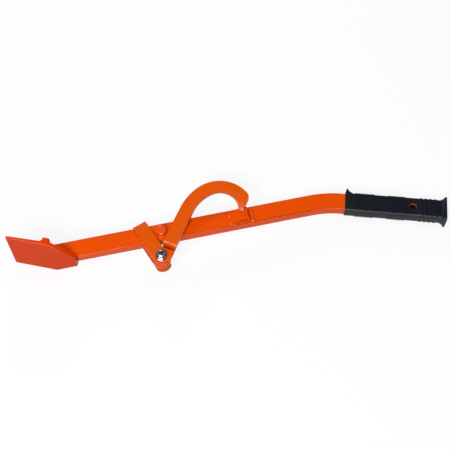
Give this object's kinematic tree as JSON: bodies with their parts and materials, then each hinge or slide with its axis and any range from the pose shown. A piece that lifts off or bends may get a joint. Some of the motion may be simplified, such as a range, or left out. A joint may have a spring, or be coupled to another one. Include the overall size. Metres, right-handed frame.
{
  "type": "felling lever",
  "caption": "Hand lever for felling trees: rectangular tube, wide wedge blade, swinging turning hook in a clevis, and a ribbed rubber grip on a bent handle.",
  "frame": {"origin": "bottom centre of the bounding box, with the tube's wide faces level", "axes": "+X along the straight tube from the blade to the grip, +Y to the side the hook's arch lies on, +Z out of the face that carries the hook"},
  "size_m": [0.8002, 0.1611, 0.1],
  "materials": {
    "paint": "gloss",
    "zinc": "satin",
    "nylon": "satin",
    "rubber": "matte"
  },
  "bodies": {
    "lever": {"lever_tube": "paint", "blade": "paint", "stop_lugs": "paint", "blade_weld": "paint", "lug_weld": "paint", "clevis_front": "paint", "clevis_rear": "paint", "clevis_weld": "paint", "hook_stop": "paint", "stop_weld": "paint", "hook_clip": "paint", "clip_rivets": "paint", "pivot_bolt": "zinc", "washers": "zinc", "spacers": "zinc", "lock_nut": "zinc", "nut_ring": "nylon", "grip": "rubber"},
    "hook": {"hook": "paint"}
  },
  "joints": [
    {"name": "hook_swing", "type": "hinge", "parent": "lever", "child": "hook", "pos_m": [-0.13628, -0.04164, 0.05], "axis": [0, 0, 1], "range_deg": [-200, 4.1]}
  ]
}
